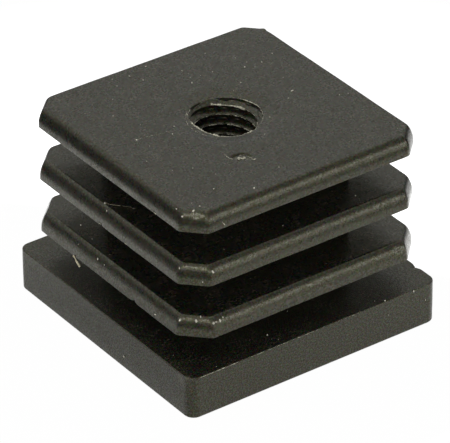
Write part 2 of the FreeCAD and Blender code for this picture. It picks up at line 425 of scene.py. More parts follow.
def thread_tree(material):
    """The hole's wall: a tube whose radius follows the thread's profile and the bevels."""
    floats = ("Pitch", "Crest Radius", "Groove Depth", "Lead-in", "Length", "Start", "Rag")
    tree, given = geometry_tree("thread wall", floats, {"Steps": "Int", "Rows": "Int"})
    steps, rows = given.output("Steps"), given.output("Rows")
    inputs = {"Vertices": steps, "Side Segments": rows, "Radius": 1.0, "Depth": 1.0}
    tube = tree.node("GeometryNodeMeshCylinder", inputs, "Mesh", fill_type="NONE")
    x = tree.part(tree.node("GeometryNodeInputPosition"), "X")
    y = x.output("Y")
    height = (x.output("Z") + 0.5) * given.output("Length")
    turn = y.math("ARCTAN2", x) / (2 * math.pi)
    crest, pitch, lead_in = given.output("Crest Radius"), given.output("Pitch"), given.output("Lead-in")
    phase = (height / pitch - turn + given.output("Start")).math("FRACT")
    to_crest = (phase - 0.5).math("ABSOLUTE") * 2.0
    groove = ((0.9 - to_crest) / 0.6).clamped()
    ridge = tree.between(to_crest, 0.72, 0.94)
    around = tree.node("ShaderNodeCombineXYZ", {0: x * 0.0045, 1: y * 0.0045, 2: height})
    torn = tree.noise(around, 1800.0, 3.0, 0.7) - 0.5
    coarse = tree.noise(around, 500.0, 2.0, 0.6) - 0.5
    rag = (torn * 1.3 + coarse) * given.output("Rag") * ridge * 2.0
    wall = crest + groove * given.output("Groove Depth") + rag
    mouth = crest + lead_in
    lumps = tree.noise(around, 420.0, 3.0, 0.6)
    depth = given.output("Length") - height
    ledge = tree.between(lumps, 0.35, 0.65) * lead_in * 0.62
    eaten = (depth - ledge) * lead_in / (lead_in - ledge)
    top_bevel = mouth - eaten.math("MAXIMUM", depth * 0.2)
    low_bevel = mouth - height
    radius = wall.math("MAXIMUM", top_bevel).math("MAXIMUM", low_bevel)
    moved = tree.node("ShaderNodeCombineXYZ", {0: x * radius, 1: y * radius, 2: height})
    placed = tree.node("GeometryNodeSetPosition", {"Geometry": tube, "Position": moved})
    bevel = top_bevel.math("MAXIMUM", low_bevel)
    rim = 1 - tree.between((wall - bevel).math("ABSOLUTE"), 0.02 * MM, 0.13 * MM)
    frayed = tree.between(torn + coarse * 0.6, -0.1, 0.16)
    wear = (ridge * frayed * 0.55 + rim * frayed * 0.9).clamped()
    inputs = {"Geometry": placed, "Name": "wear", "Value": wear}
    marked = tree.node("GeometryNodeStoreNamedAttribute", inputs, data_type="FLOAT", domain="POINT")
    close_geometry(tree, marked, material)
    return tree


def quadrants(side):
    """A ring from its points between two quarter turns."""
    turns = [side]
    for _ in range(3):
        last = turns[-1]
        turns.append(np.stack([-last[:, 1], last[:, 0]], 1))
    return np.concatenate(turns)


def arc_points(centre, radius, degrees):
    """Points on an arc, at these angles."""
    angle = np.radians(np.asarray(degrees, float))
    return np.stack([centre[0] + radius * np.cos(angle), centre[1] + radius * np.sin(angle)], 1)


def cut_square(half, reach, radius):
    """A square ring whose corners are cut, reach being the limit of x plus y."""
    inset = radius * math.tan(math.radians(22.5))
    run = reach - half
    along = np.linspace(-run + inset, run - inset, SIDE_POINTS)
    side = np.stack([np.full(SIDE_POINTS, half), along], 1)
    steps = np.arange(1, ARC_POINTS + 1) * 45 / (ARC_POINTS + 1)
    first = arc_points((half - radius, run - inset), radius, steps)
    second = arc_points((run - inset, half - radius), radius, steps + 45)
    shift = inset / math.sqrt(2)
    start = np.array([half - shift, run + shift])
    end = np.array([run + shift, half - shift])
    chamfer = start + np.linspace(0, 1, CHAMFER_POINTS)[:, None] * (end - start)
    return quadrants(np.concatenate([side, first, chamfer, second]))


def round_square(half, radius):
    """A square ring with round corners."""
    run = half - radius
    along = np.linspace(-run, run, SIDE_POINTS)
    side = np.stack([np.full(SIDE_POINTS, half), along], 1)
    steps = np.arange(1, CORNER_POINTS + 1) * 90 / (CORNER_POINTS + 1)
    return quadrants(np.concatenate([side, arc_points((run, run), radius, steps)]))


def circle(radius):
    """A round ring."""
    number = np.arange(RING_POINTS) - (SIDE_POINTS - 1) / 2
    return arc_points((0, 0), radius, number * 360 / RING_POINTS)


def quarter(radius, steps):
    """How far in and up each step of a rounded edge lies."""
    angle = np.radians(np.linspace(0.0, 90.0, steps))
    return radius * (1 - np.cos(angle)), radius * np.sin(angle)


def crowned_edge(reach, drop, crown, side, steps=14):
    """A rounded edge that goes on from a slightly bulging side without a crease."""
    slope = 3 * crown / side * drop / (reach - crown)
    start = math.asin(min(0.95, slope / (1 - slope)))
    angle = np.linspace(start, math.pi / 2, steps)
    inward = crown + (reach - crown) * (math.cos(start) - np.cos(angle)) / math.cos(start)
    rise = drop * (np.sin(angle) - math.sin(start)) / (1 - math.sin(start))
    return list(zip(inward, rise))


def dip_depth(radius, shape):
    """How deep the dip round the hole is, this far from the axis."""
    past = max(0.0, shape.dip_reach - radius)
    return shape.dip_radius - math.sqrt(shape.dip_radius**2 - past**2)


# How far inside a rounded edge the next ring lies, which keeps the flat beside it flat.
SUPPORT_MM = 0.12


def between_rings(low, high, shares):
    """Rings part of the way from one ring to another."""
    return [low + (high - low) * part for part in shares]


def head_rings(shape, mouth):
    """Rings of the head, from the hole in its outer face to the foot of the core."""
    half = shape.head_width / 2
    rim, lip, corner = shape.head_rim, shape.head_lip, shape.head_corner
    flat = round_square(half - rim - SUPPORT_MM * MM, corner - rim)
    rings = [(circle(mouth + 0.15 * MM), 0.0)]
    rings += [(ring, 0.0) for ring in between_rings(circle(mouth + 0.4 * MM), flat, (0, 0.3, 0.65, 1))]
    inward, rise = quarter(rim, 6)
    for step in range(5, -1, -1):
        inset = inward[step]
        rings.append((round_square(half - inset, corner - inset), rim - rise[step]))
    top = shape.head_thickness
    for part in (0.02, 0.15, 0.35, 0.5, 0.65, 0.85, 0.98):
        rings.append((round_square(half, corner), rim + (top - lip - rim) * part))
    inward, rise = quarter(lip, 5)
    for inset, up in zip(inward, rise):
        rings.append((round_square(half - inset, corner - inset), top - lip + up))
    inner = round_square(half - lip - SUPPORT_MM * MM, corner - lip)
    core = round_square(shape.core_width / 2, shape.core_corner)
    rings += [(ring, top) for ring in between_rings(inner, core, (0, 0.2, 0.4, 0.6, 0.8, 1))]
    return rings


def rib_rings(shape, bottom, last):
    """Rings of one rib, from the core under it to the core above it, or to the dip."""
    reach = (shape.head_width - 2 * shape.rib_step) - math.sqrt(2) * shape.corner_cut
    lean = math.tan(shape.rib_draft)
    top = bottom + shape.rib_thickness
    core = round_square(shape.core_width / 2, shape.core_corner)

    def outline(height, inset):
        half = shape.head_width / 2 - shape.rib_step - (height - shape.head_thickness) * lean
        return cut_square(half - inset, reach - math.sqrt(2) * inset, shape.rib_crease)

    under, upper = shape.rib_under, shape.rib_top
    flat = outline(bottom, under + SUPPORT_MM * MM)
    rings = [(core, bottom - shape.root_gap * 0.02), (core, bottom)]
    rings += [(ring, bottom) for ring in between_rings(core, flat, (0.02, 0.35, 0.7, 1))]
    inward, rise = quarter(under, 5)
    for step in range(4, -1, -1):
        rings.append((outline(bottom, inward[step]), bottom + under - rise[step]))
    side_low, side_high = bottom + under, top - shape.rib_top_drop
    crown = shape.rib_crown
    for part in (0.08, 0.25, 0.4, 0.55, 0.7, 0.85):
        height = side_low + (side_high - side_low) * part
        rings.append((outline(height, crown * part**3), height))
    for inset, up in crowned_edge(upper, shape.rib_top_drop, crown, side_high - side_low):
        rings.append((outline(side_high, inset), side_high + up))
    inner = outline(side_high, upper + SUPPORT_MM * MM)
    if last:
        rim = circle(shape.dip_reach)
        rings += [(ring, top) for ring in between_rings(inner, rim, (0, 0.2, 0.4, 0.6, 0.8, 1))]
    else:
        rings += [(ring, top) for ring in between_rings(inner, core, (0, 0.25, 0.5, 0.75, 0.98, 1))]
        rings.append((core, top + shape.rib_gap * 0.02))
    return rings


def dip_rings(shape, mouth):
    """Rings of the dip in which the tip's face goes down to the hole."""
    rings = []
    for radius in np.linspace(shape.dip_reach, mouth + 0.12 * MM, 12)[1:]:
        rings.append((circle(radius), shape.total_height - dip_depth(radius, shape)))
    return rings


# The longest edge left on the skin at a flaw.
FLAW_EDGE_MM = 0.22

# Flaws of the skin: three numbers of place, width and depth in millimetres, the depth below 0 for a
# bump, and paleness. The paleness is a pale scuff on most, a painted glint on the pale bumps at the
# ribs' front corners, and a painted highlight on the bead on the lowest rib's -Y side.
SKIN_FLAWS_AND_GLINTS = (
    (-18.75, -10.6, 26.2, 0.32, 0.24, 0.0), (-18.95, 1.6, 18.35, 0.38, 0.26, 0.0),
    (-19.1, -6.0, 10.5, 0.45, 0.3, 0.0), (-18.95, -4.1, 18.35, 0.33, 0.2, 0.0),
    (20.0, -15.56, 6.2, 0.5, 0.4, 0.0), (17.5, 15.5, 28.8, 0.35, -0.14, 0.5),
    (17.9, 15.0, 28.6, 0.3, 0.2, 0.0), (16.9, 16.0, 28.8, 0.3, 0.18, 0.0),
    # The pale bumps at the ribs' front corners, from this line to the bead's ring, are painted glints.
    (-16.9, -17.3, 28.6, 0.35, 0.14, 0.2), (-18.3, -15.9, 28.75, 0.25, -0.1, 0.6),
    (-15.9, -18.3, 28.75, 0.25, -0.1, 0.5), (-18.57, -15.57, 20.53, 0.3, -0.1, 0.5),
    (-15.28, -18.67, 20.28, 0.3, -0.1, 0.5), (-18.57, -15.71, 12.73, 0.35, -0.12, 0.6),
    (-17.04, -17.2, 12.77, 0.35, -0.1, 0.5), (-15.35, -18.77, 12.64, 0.35, -0.12, 0.6),
    (-14.42, -18.78, 12.59, 0.25, -0.1, 0.6), (14.45, -18.81, 12.7, 0.62, 0.2, 0.0),
    # The pale bump that starts this line is a bead with a painted highlight.
    (14.45, -18.7, 12.75, 0.3, -0.36, 1.0), (-20.0, -17.68, 5.15, 0.7, 0.05, 0.25),
    (-19.85, -19.05, 6.15, 0.35, 0.08, 0.5), (-20.0, -5.16, 1.76, 0.36, 0.3, 0.0),
    (15.0, 19.0, 26.3, 0.5, 0.25, 0.0), (-6.0, 18.8, 26.2, 0.55, 0.25, 0.0),
    (18.9, 2.0, 18.4, 0.45, 0.25, 0.0), (18.9, -9.0, 10.6, 0.4, 0.25, 0.0),
    (4.0, 20.0, 6.1, 0.5, 0.2, 0.2),
)

# The gate's scar on the tip, in millimetres: its middle, the radius of the ring round its nub, how
# far the finer skin reaches and its longest edge, and how far the scar reaches. It is narrower along
# AWAY, the level direction in which the camera looks.
GATE_MM = (-4.45, -9.8)
GATE_RADIUS_MM = 1.25
GATE_FINE_MM = 1.9
GATE_EDGE_MM = 0.16
GATE_REACH_MM = 2.6
GATE_SQUASH = 1.45
AWAY = (0.58, 0.81)


def weathered(points, shape):
    """The skin's points with slight unevenness, kept inside the cap's box."""
    moved = points.copy()
    for index, point in enumerate(points):
        place = Vector(point) / MM
        radius = math.hypot(place.x, place.y)
        if place.z < 0.2 or radius < 9.5:
            continue
        broad = noise.noise_vector(place * 0.22) * 0.03
        fine = noise.noise_vector(place * 1.3) * 0.008
        moved[index] += np.array(broad + fine) * MM
    half = shape.head_width / 2
    limit = np.array([half, half, shape.total_height])
    return np.clip(moved, [-half, -half, 0.0], limit)


def ring_loop(mesh, level):
    """A tube's end points at one height, in order round the axis."""
    points = np.array([vertex.co for vertex in mesh.vertices])
    picked = np.flatnonzero(np.abs(points[:, 2] - level) < 1e-7)
    angle = np.arctan2(points[picked, 1], points[picked, 0])
    return picked[np.argsort(np.mod(angle + 1e-4, 2 * math.pi))]


def stitch(fine, coarse, flip):
    """Faces between a fine ring and a coarse one with a quarter of its points."""
    faces = []
    count = len(fine)
    half = SIDE_POINTS // 2
    for step, point in enumerate(coarse):
        base = half - 2 + RING_SHARE * step
        ring = [fine[(base + offset) % count] for offset in range(RING_SHARE + 1)]
        follower = coarse[(step + 1) % len(coarse)]
        fan = [(point, ring[index], ring[index + 1]) for index in range(RING_SHARE - 1)]
        fan.append((point, ring[RING_SHARE - 1], ring[RING_SHARE], follower))
        faces += [tuple(reversed(face)) if flip else face for face in fan]
    return faces


def build_cap(wall, shape, thread, material):
    """The moulding's skin, joined to the hole's wall in one closed mesh."""
    mouth = thread.crest + thread.lead_in
    rings = head_rings(shape, mouth)
    bottom = shape.head_thickness + shape.root_gap
    for rib in range(shape.rib_count):
        rings += rib_rings(shape, bottom, rib == shape.rib_count - 1)
        bottom += shape.rib_thickness + shape.rib_gap
    rings += dip_rings(shape, mouth)
    skin = np.concatenate([np.column_stack([ring, np.full(RING_POINTS, z)]) for ring, z in rings])
    skin = weathered(skin, shape)
    faces = []
    for level in range(len(rings) - 1):
        low, high = level * RING_POINTS, (level + 1) * RING_POINTS
        for step in range(RING_POINTS):
            after = (step + 1) % RING_POINTS
            faces.append((low + step, low + after, high + after, high + step))
    offset = len(skin)
    wall_points = np.array([vertex.co for vertex in wall.vertices])
    for face in wall.polygons:
        faces.append(tuple(offset + corner for corner in reversed(face.vertices)))
    top_loop = offset + ring_loop(wall, wall_points[:, 2].max())
    low_loop = offset + ring_loop(wall, wall_points[:, 2].min())
    first_ring = np.arange(RING_POINTS)
    faces += stitch(first_ring, low_loop, flip=True)
    faces += stitch(first_ring + (len(rings) - 1) * RING_POINTS, top_loop, flip=False)
    mesh = bpy.data.meshes.new("moulded_cap")
    mesh.from_pydata(np.concatenate([skin, wall_points]).tolist(), [], faces)
    wear = mesh.attributes.new("wear", "FLOAT", "POINT")
    worn = np.zeros(len(skin) + len(wall_points), np.float32)
    wall_wear = np.zeros(len(wall_points), np.float32)
    wall.attributes["wear"].data.foreach_get("value", wall_wear)
    worn[offset:] = wall_wear
    wear.data.foreach_set("value", worn)
    mesh.materials.append(material)
    mesh.validate()
    work_flaws_and_glints(mesh)
    mesh.shade_smooth()
    mesh.set_sharp_from_angle(angle=math.radians(32))
    return mesh


def within(vertices, centre, reach):
    """The vertices no further than reach from a place."""
    return [vertex for vertex in vertices if (vertex.co - centre).length < reach]


def refine(work, centre, reach, size):
    """Cut the edges near a place, in four rounds at most, until none is longer than size.

    Returns the vertices that lie near it, because cutting makes older lists of them useless.
    """
    around = within(work.verts, centre, reach + 1.5 * MM)
    for _ in range(4):
        near = within(around, centre, reach)
        edges = dict.fromkeys(edge for vertex in near for edge in vertex.link_edges)
        long_ones = [edge for edge in edges if edge.calc_length() > size]
        if not long_ones:
            break
        cuts = 3 if max(edge.calc_length() for edge in long_ones) > 3 * size else 1
        bmesh.ops.subdivide_edges(work, edges=long_ones, cuts=cuts, use_grid_fill=True)
        around = within(work.verts, centre, reach + 1.5 * MM)
    return around


def work_flaws_and_glints(mesh):
    """Dents, bumps, pale scuffs, painted glints and a painted highlight, each on its own finer patch of
    the skin.
    """
    work = bmesh.new()
    work.from_mesh(mesh)
    worn = work.verts.layers.float["wear"]
    for *place, width, depth, pale in SKIN_FLAWS_AND_GLINTS:
        centre = Vector(place) * MM
        around = refine(work, centre, width * 1.5 * MM, FLAW_EDGE_MM * MM)
        near = within(around, centre, 2.2 * width * MM)
        for face in dict.fromkeys(face for vertex in near for face in vertex.link_faces):
            face.normal_update()
        for vertex in near:
            vertex.normal_update()
        normal = sum((vertex.normal for vertex in near), Vector()).normalized()
        for vertex in near:
            apart = (vertex.co - centre).length / (width * MM)
            rough = 0.8 + 0.5 * noise.noise(vertex.co * 3.2 / MM)
            share_here = math.exp(-apart * apart) * rough
            vertex.co -= normal * (depth * share_here * MM)
            vertex[worn] = max(vertex[worn], min(1.0, pale * share_here * 1.2))
    work_gate(work, worn)
    work.to_mesh(mesh)
    work.free()


def work_gate(work, worn):
    """The scar of the gate: a round nub in a shallow ring, its near rim torn."""
    top = max(vertex.co.z for vertex in work.verts)
    centre = Vector((*GATE_MM, top / MM)) * MM
    around = refine(work, centre, GATE_FINE_MM * MM, GATE_EDGE_MM * MM)
    for vertex in within(around, centre, GATE_REACH_MM * MM):
        x, y, _ = (vertex.co - centre) / MM
        across = x * AWAY[1] - y * AWAY[0]
        deep = (x * AWAY[0] + y * AWAY[1]) * GATE_SQUASH
        radius = math.hypot(across, deep)
        side = deep / max(radius, 0.01)
        ragged = noise.noise(Vector((vertex.co.x, vertex.co.y, 0)) * 2.4 / MM)
        fine = noise.noise(Vector((vertex.co.x, vertex.co.y, 3 * MM)) * 5.5 / MM)
        ring = math.exp(-(((radius - GATE_RADIUS_MM) / 0.22) ** 2))
        chipped = math.exp(-((across / 0.75) ** 2) - ((deep + 0.35) / 0.42) ** 2)
        nub = math.exp(-((radius / 0.75) ** 4))
        torn = chipped * (0.12 + 0.35 * ragged)
        drop = ring * (0.05 + 0.32 * max(0.0, side + 0.2)) + torn - nub * 0.02
        vertex.co.z = min(top, vertex.co.z - (drop + 0.03 * fine * (ring + chipped)) * MM)
        pale = chipped * max(0.0, 0.75 + 2.0 * ragged + 1.2 * fine)
        vertex[worn] = max(vertex[worn], min(1.0, pale))


class EndCapBody(bpy.types.Operator):
    """Build the moulding with its thread"""

    bl_idname = "end_cap.body"
    bl_label = "Moulding"

    def execute(self, context):
        shape, thread, plastic = settings()[:3]
        material = plastic_material(plastic, shape)
        rim_height = shape.total_height - dip_depth(thread.crest + thread.lead_in, shape)
        rows = round(rim_height / thread.pitch * thread.rows)
        values = {
            "Pitch": thread.pitch,
            "Crest Radius": thread.crest,
            "Groove Depth": thread.groove,
            "Lead-in": thread.lead_in,
            "Length": rim_height,
            "Start": thread.start,
            "Rag": thread.rag,
            "Steps": THREAD_STEPS,
            "Rows": rows,
        }
        wall = grow(thread_tree(material), "thread_wall", values)
        mesh = build_cap(wall.data, shape, thread, material)
        bpy.data.objects.remove(wall)
        cap = new_piece("moulded_cap", mesh)
        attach(cap, "root")
        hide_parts(CAP_NODE)
        return {"FINISHED"}


# The step in which a torn line is drawn, and the corners of its round section.
FRAY_STEP_MM = 0.11
FRAY_CORNERS = 5


def frayed_tree(material):
    """A ragged bead along a line, whose width and course wander."""
    tree, given = geometry_tree("frayed edge", ("Width", "Wander", "Grain", "Thinnest"))
    line = tree.node("GeometryNodeMeshToCurve", {"Mesh": given})
    inputs = {"Curve": line, "Length": FRAY_STEP_MM * MM}
    fine = tree.node("GeometryNodeResampleCurve", inputs, mode="LENGTH")
    where = tree.node("GeometryNodeInputPosition")
    stray = tree.noise(where, given.output("Grain"), 3.0, 0.75, "Color")
    offset = tree.scaled(tree.vector("SUBTRACT", stray, MIDDLE_GREY), given.output("Wander"))
    bent = tree.node("GeometryNodeSetPosition", {"Geometry": fine, "Offset": offset})
    lumps = tree.noise(where, given.output("Grain") * 0.8, 3.0, 0.7)
    fullness = tree.between(lumps, 0.42, 0.64) + given.output("Thinnest")
    ring = tree.node("GeometryNodeCurvePrimitiveCircle", {"Resolution": FRAY_CORNERS, "Radius": 1.0})
    width = fullness * given.output("Width")
    inputs = {"Curve": bent, "Profile Curve": ring, "Scale": width, "Fill Caps": True}
    close_geometry(tree, tree.node("GeometryNodeCurveToMesh", inputs), material)
    return tree


def line_mesh(name, lines):
    """A start mesh of polylines, each a list of points in metres."""
    points, edges = [], []
    for line in lines:
        first = len(points)
        points += [tuple(point) for point in line]
        edges += [(first + step, first + step + 1) for step in range(len(line) - 1)]
    mesh = bpy.data.meshes.new(name)
    mesh.from_pydata(points, edges, [])
    return mesh


def frayed(name, lines, material, width, wander, grain, thinnest):
    """A ragged bead along each of these lines."""
    values = {"Width": width, "Wander": wander, "Grain": grain, "Thinnest": thinnest}
    return grow(frayed_tree(material), name, values, line_mesh(name, lines))


# The torn web round the near side of the hole: angle in degrees and inner radius in millimetres.
WEB = (
    (118, 5.05), (134, 4.89), (153, 4.59), (171, 4.36), (193, 4.33), (218, 4.5), (234, 4.78),
    (245, 4.72), (256, 4.91), (272, 4.84), (286, 4.96), (305, 4.8), (324, 4.95), (341, 5.08),
    (352, 5.12),
)

# Torn lines, and pale lines painted as the highlight along the upper edge of the head's -Y side:
# places in millimetres, width against the fray's, and its share at the thinnest.
TEARS_AND_HIGHLIGHT_LINES = (
    (((0.95, 4.45, 28.3), (1.69, 4.17, 28.12), (2.62, 3.6, 27.97), (3.4, 2.86, 27.9),
      (3.9, 2.07, 27.82), (4.2, 1.37, 27.7)), 1.5, 0.6),
    (((4.2, 1.37, 27.7), (4.25, 0.6, 27.65), (4.3, -0.6, 27.6), (4.1, -1.6, 27.55)), 0.8, 0.1),
    (((4.2, 3.0, 28.7), (4.7, 2.2, 28.7), (5.05, 1.1, 28.7),
      (5.2, 0.1, 28.7), (5.1, -1.0, 28.7)), 0.8, 0.1),
    (((-3.18, 4.1, 28.7), (-4.3, 2.9, 28.7), (-5.05, 1.1, 28.7),
      (-5.1, -0.9, 28.7), (-4.6, -2.3, 28.7)), 0.45, 0.1),
    (((-5.78, -8.06, 29.0), (-5.83, -8.95, 29.0), (-5.59, -9.44, 29.0)), 0.9, 0.4),
    (((-5.08, -9.9, 29.0), (-4.7, -9.85, 29.0), (-4.5, -10.12, 29.0), (-4.1, -10.11, 29.0)), 2.2, 0.1),
    (((-4.37, -9.29, 29.0), (-4.0, -9.32, 29.0), (-3.58, -9.62, 29.0),
      (-3.38, -10.21, 29.0), (-3.39, -10.84, 29.0)), 0.6, 0.1),
    (((-3.63, -10.82, 29.0), (-3.58, -11.22, 29.0), (-3.23, -11.27, 29.0)), 1.9, 0.2),
    (((-12.94, 1.87, 29.0), (-10.81, 1.54, 29.0), (-9.02, 1.16, 29.0), (-7.29, 1.15, 29.0)), 0.22, 0.1),
    (((-16.85, -16.65, 28.94), (-17.0, -16.9, 28.7), (-17.1, -17.1, 28.5),
      (-17.2, -17.25, 28.1)), 0.8, 0.1),
    (((-13.86, -18.7, 27.27), (-13.65, -18.7, 26.9), (-13.42, -18.7, 26.55)), 1.0, 0.1),
    (((-18.8, -10.2, 26.3), (-18.85, -10.5, 26.15), (-18.8, -10.95, 26.25)), 0.9, 0.3),
    # These two lines along the upper edge of the head's -Y side are a painted highlight in the torn
    # plastic's colour.
    (((-18.4, -20.0, 6.15), (-15.5, -20.0, 6.15), (-12.5, -20.0, 6.15)), 0.42, 0.15),
    (((-12.5, -20.0, 6.15), (-6.0, -20.0, 6.15), (0.0, -20.0, 6.15), (7.0, -20.0, 6.15)), 0.3, 0.04),
    (((-19.0, 1.9, 18.45), (-19.0, 1.55, 18.35)), 0.6, 0.4),
    (((-19.0, -3.9, 18.45), (-19.0, -4.3, 18.35)), 0.6, 0.4),
)


def torn_web(shape, thread, material):
    """A thin ragged web that stands inwards from the hole's near rim."""
    angles, radii = np.array(WEB).T
    mouth = (thread.crest + thread.lead_in) / MM
    rim = (shape.total_height - dip_depth(mouth * MM, shape)) / MM
    points, wear = [], []
    for angle in np.arange(angles[0], angles[-1], 1.2):
        radius = np.interp(angle, angles, radii)
        turn = math.radians(angle)
        way = Vector((math.cos(turn), math.sin(turn), 0))
        ragged = noise.noise(way * 9.0) * 0.16 + noise.noise(way * 31.0) * 0.09
        inner = min(radius + ragged, mouth - 0.03)
        droop = 0.03 + 0.05 * noise.noise(way * 13.0)
        section = (
            (mouth + 0.08, 0.015, 0.0),
            (inner + 0.12, -droop * 0.8, 0.0),
            (inner, -droop, 0.8),
            (inner + 0.02, -droop - 0.07, 0.5),
            (mouth + 0.02, -0.09, 0.0),
        )
        points += [tuple((way * out + Vector((0, 0, rim + up))) * MM) for out, up, _ in section]
        wear += [pale for _, _, pale in section]
    size = len(section)
    count = len(points) // size
    faces = [tuple(reversed(range(size))), tuple(size * (count - 1) + corner for corner in range(size))]
    for step in range(count - 1):
        for corner in range(size):
            after = (corner + 1) % size
            low = size * step
            faces.append((low + corner, low + after, low + size + after, low + size + corner))
    mesh = bpy.data.meshes.new("rim_web")
    mesh.from_pydata(points, [], faces)
    mesh.attributes.new("wear", "FLOAT", "POINT").data.foreach_set("value", wear)
    mesh.materials.append(material)
    edge = [points[size * step + 2] for step in range(count)]
    return new_piece("rim_web", mesh), edge


# Which turns of the thread have torn crests, and the points on each turn.
CREST_START = 1.3
CREST_TURNS = 4.4
CREST_POINTS = 120


def crest_line(shape, thread):
    """Points on the crests below the bevel, downwards."""
    mouth = thread.crest + thread.lead_in
    rim = shape.total_height - dip_depth(mouth, shape)
    radius = thread.crest - 0.01 * MM
    line = []
    for step in range(round(CREST_TURNS * CREST_POINTS)):
        turn = CREST_START - step / CREST_POINTS
        height = (math.floor(rim / thread.pitch) + turn - thread.start) * thread.pitch
        angle = turn * 2 * math.pi
        line.append((radius * math.cos(angle), radius * math.sin(angle), height))
    return [point for point in line if point[2] < rim - thread.lead_in * 0.95]


def on_skin(skin, places, lift):
    """Places moved to the nearest skin and lifted off it a little."""
    moved = []
    for place in places:
        found, normal, _, _ = skin.find_nearest(Vector(place) * MM)
        moved.append(found + normal * lift)
    return moved


class EndCapFray(bpy.types.Operator):
    """Build the torn plastic round the hole, on the thread's crests, at the gate and on edges, and a
    painted highlight along the head's upper edge
    """

    bl_idname = "end_cap.fray"
    bl_label = "Torn edges"

    def execute(self, context):
        shape, thread, plastic, wear = settings()[:4]
        body = bpy.data.objects["moulded_cap"].data.materials[0]
        first, second = dimmed(plastic.torn, 4.6), dimmed(plastic.torn, 1.6)
        # The torn plastic's colour also paints the highlight along the head's upper edge.
        pale = grain_material("torn plastic", first, second, 5.0, 0.9)
        web, edge = torn_web(shape, thread, body)
        stray = wear.wander * 0.8
        burr, lint = [edge[36:136]], [edge[:37], edge[135:]]
        pieces = [
            web,
            frayed("rim_burr", burr, pale, wear.fray * 1.75, stray, 1500.0, 0.15),
            frayed("rim_lint", lint, pale, wear.fray * 0.6, stray, 1500.0, 0.0),
        ]
        skin = skin_tree()
        for number, (places, width, thinnest) in enumerate(TEARS_AND_HIGHLIGHT_LINES, start=1):
            radius = wear.fray * width
            line = on_skin(skin, places, 0.3 * radius)
            stray_here = wear.wander * 0.6
            pieces.append(frayed(f"tear_{number}", [line], pale, radius, stray_here, 1500.0, thinnest))
        crests = [crest_line(shape, thread)]
        pieces.append(frayed("crest_burrs", crests, pale, wear.crest_fray, stray, 1900.0, 0.1))
        for piece in pieces:
            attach(piece, "root")
        return {"FINISHED"}


# Dust flecks that stand out, and pale flecks painted as glints on the ribs' front corners: three
# numbers of place in millimetres, and size against the middling fleck's.
DUST_AND_GLINT_FLECKS = (
    (-18.15, -14.68, 28.75, 1.2), (-16.06, -15.15, 29.0, 0.8), (-15.65, -16.34, 29.0, 1.3),
    (-16.85, -16.65, 28.94, 1.6), (-18.27, -16.18, 28.38, 1.3), (-18.6, -15.71, 20.62, 2.0),
    (-15.32, -18.74, 20.33, 1.9), (-16.55, -18.11, 18.98, 0.9), (-18.6, -15.76, 12.78, 2.0),
    (-17.08, -17.25, 12.82, 1.6), (-15.41, -18.85, 12.63, 1.9), (-14.39, -18.85, 12.62, 1.6),
    (-14.92, -18.83, 12.66, 0.9), (-16.36, -17.23, 13.21, 1.3), (-18.99, -10.93, 11.21, 1.2),
    (9.5, 8.7, 29.0, 1.2), (10.6, 7.9, 29.0, 0.8), (6.6, 5.6, 29.0, 0.8), (10.8, -0.1, 29.0, 1.5),
    (-4.2, 15.8, 29.0, 0.9), (-7.0, 14.6, 29.0, 0.8), (-3.3, 13.9, 29.0, 0.7),
    (-11.8, 8.5, 29.0, 0.9), (2.2, 12.8, 29.0, 1.0), (1.4, 9.4, 29.0, 1.1), (-6.9, 1.7, 29.0, 0.9),
    (-8.2, 0.2, 29.0, 0.7), (-12.8, 1.7, 29.0, 1.0), (9.3, -1.3, 29.0, 0.9), (1.4, -6.9, 29.0, 0.8),
    (-11.0, -8.3, 29.0, 0.9), (12.9, 13.8, 29.0, 0.9), (10.5, 9.6, 29.0, 0.8),
    (9.9, 11.4, 29.0, 0.8), (12.1, 8.4, 29.0, 0.9), (-11.8, -14.0, 29.0, 1.1),
    (-7.6, -16.9, 28.9, 1.3), (-13.53, -18.8, 26.76, 1.2), (-17.83, 1.9, 21.2, 1.4),
    (-18.4, 0.8, 20.8, 1.1), (9.4, -15.8, 21.15, 0.8), (-2.5, -16.1, 21.15, 0.6),
    (-11.9, -16.3, 21.15, 0.5), (-16.5, 9.8, 13.3, 1.3), (-17.2, 6.1, 13.3, 1.0),
    (-18.8, 2.7, 12.6, 1.1), (-18.8, 1.1, 12.5, 1.0), (-18.8, 7.2, 12.6, 0.9),
    (-6.1, -13.9, 13.3, 0.5), (-13.8, -18.9, 13.0, 1.2), (-16.4, -17.3, 13.2, 1.1),
    (-5.8, -17.2, 6.2, 1.1), (11.4, -19.8, 6.2, 1.3), (16.0, -20.0, 6.07, 1.2),
    (18.0, -20.0, 3.9, 1.0), (-20.0, -5.0, 1.9, 1.5), (-9.5, -11.2, 29.0, 0.6),
    (4.6, -3.6, 29.0, 0.7), (12.0, 3.5, 29.0, 0.7), (-2.0, -14.6, 29.0, 0.8),
    (14.6, 9.5, 29.0, 0.7), (7.4, 14.8, 29.0, 0.7), (15.2, -4.6, 29.0, 0.6),
    (-14.4, 11.2, 29.0, 0.7), (-9.4, 12.1, 29.0, 0.6), (-1.0, 16.6, 29.0, 0.7),
    (5.3, 10.2, 29.0, 0.6), (-10.2, 4.6, 29.0, 0.6), (-14.8, -3.4, 29.0, 0.7),
    (-13.4, -7.2, 29.0, 0.6),
)

# Loose fibres, each a line of places in millimetres, with its width against the fibre's.
FIBRES = (
    (((-19.16, 7.72, 10.68), (-19.05, 7.62, 10.4), (-18.82, 7.45, 9.75), (-18.5, 7.3, 8.95)), 1.5),
    (((-17.73, 2.02, 21.2), (-17.55, 1.13, 21.3), (-17.07, 0.47, 21.3),
      (-15.85, -0.73, 21.25), (-15.5, -1.6, 21.2)), 0.16),
)


def skin_tree():
    """The finished moulding, for finding the nearest place on its skin."""
    mesh = bpy.data.objects["moulded_cap"].data
    points = [vertex.co.copy() for vertex in mesh.vertices]
    return BVHTree.FromPolygons(points, [tuple(face.vertices) for face in mesh.polygons])


